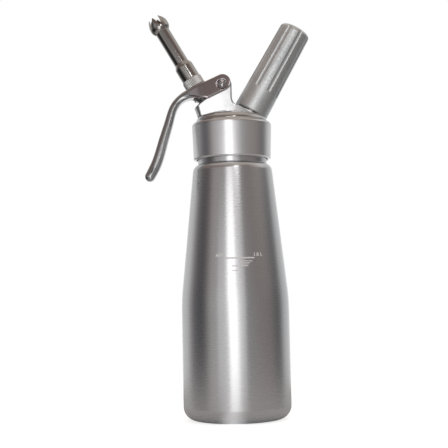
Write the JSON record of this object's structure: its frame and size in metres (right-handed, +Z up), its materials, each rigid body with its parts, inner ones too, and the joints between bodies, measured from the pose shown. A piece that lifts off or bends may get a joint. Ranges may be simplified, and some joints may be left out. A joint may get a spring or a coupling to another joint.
{
  "type": "whipped cream dispenser",
  "caption": "Tapered metal pressure bottle with a screwed head, a lever valve with a long tulip tip leaning one way and a fluted gas charger holder leaning the other.",
  "frame": {"origin": "centre of the bottle's foot ring, on the plane that it stands on", "axes": "+Z up along the bottle's axis, +X towards the charger holder's side, -X towards the tip and lever"},
  "size_m": [0.1397, 0.089, 0.3396],
  "materials": {
    "bottle_aluminium": "satin, turned and brushed round the axis",
    "head_aluminium": "polished",
    "holder_aluminium": "fine satin",
    "tip_chrome": "polished chrome plate",
    "grip_aluminium": "satin with fine straight knurls",
    "lever_aluminium": "polished casting",
    "steel": "bright turned steel",
    "spring_steel": "drawn wire",
    "charger_steel": "zinc plated",
    "brass": "turned",
    "black_rubber": "matt",
    "pale_silicone": "matt"
  },
  "bodies": {
    "bottle": {"bottle": "bottle_aluminium"},
    "gasket": {"head_gasket": "pale_silicone"},
    "head": {"head": "head_aluminium", "lever_bracket": "head_aluminium", "lever_pin": "steel", "pin_clips": "spring_steel", "piercing_pin": "brass", "inlet_body": "brass", "inlet_washer": "pale_silicone", "inlet_valve_rubber": "black_rubber", "charger_gasket": "black_rubber", "valve_spring": "spring_steel"},
    "lever": {"lever": "lever_aluminium"},
    "stem": {"valve_stem": "steel", "stem_o_ring": "black_rubber", "valve_seal": "black_rubber", "valve_washer": "steel", "valve_nut": "brass"},
    "tip_washer": {"tip_seal": "pale_silicone"},
    "tip": {"decorating_tip": "tip_chrome", "grip_collar": "grip_aluminium"},
    "charger": {"gas_charger": "charger_steel"},
    "holder": {"charger_holder": "holder_aluminium"}
  },
  "joints": [
    {"name": "head_lift", "type": "slide", "parent": "bottle", "child": "gasket", "axis": [0, 0, 1], "range_m": [0, 0.012]},
    {"name": "head_turn", "type": "hinge", "parent": "gasket", "child": "head", "pos_m": [0, 0, 0.24], "axis": [0, 0, 1], "range_deg": [0, 1081]},
    {"name": "lever_pivot", "type": "hinge", "parent": "head", "child": "lever", "pos_m": [-0.0072, 0, 0.27698], "axis": [0, -1, 0], "range_deg": [0, 7.6], "stiffness_Nm_per_rad": 2, "springref_deg": -8.59},
    {"name": "stem_stroke", "type": "slide", "parent": "head", "child": "stem", "axis": [0.5, 0, -0.866], "range_m": [0, 0.00256], "deforming": ["valve_spring"]},
    {"name": "tip_travel", "type": "slide", "parent": "stem", "child": "tip_washer", "axis": [-0.5, 0, 0.866], "range_m": [0, 0.00525]},
    {"name": "tip_turn", "type": "hinge", "parent": "tip_washer", "child": "tip", "pos_m": [-0.031, 0, 0.28068], "axis": [-0.5, 0, 0.866], "range_deg": [0, 1261]},
    {"name": "charger_travel", "type": "slide", "parent": "head", "child": "charger", "axis": [0.5, 0, 0.866], "range_m": [0, 0.008]},
    {"name": "holder_turn", "type": "hinge", "parent": "charger", "child": "holder", "pos_m": [0.035, 0, 0.2876], "axis": [0.5, 0, 0.866], "range_deg": [0, 1441]}
  ],
  "couplings": [
    {"joint": "head_turn", "follows": "head_lift", "rad_per_m": 1570.8},
    {"joint": "stem_stroke", "follows": "lever_pivot", "m_per_rad": 0.0191},
    {"joint": "tip_turn", "follows": "tip_travel", "rad_per_m": 4188.8},
    {"joint": "holder_turn", "follows": "charger_travel", "rad_per_m": 3141.6}
  ]
}
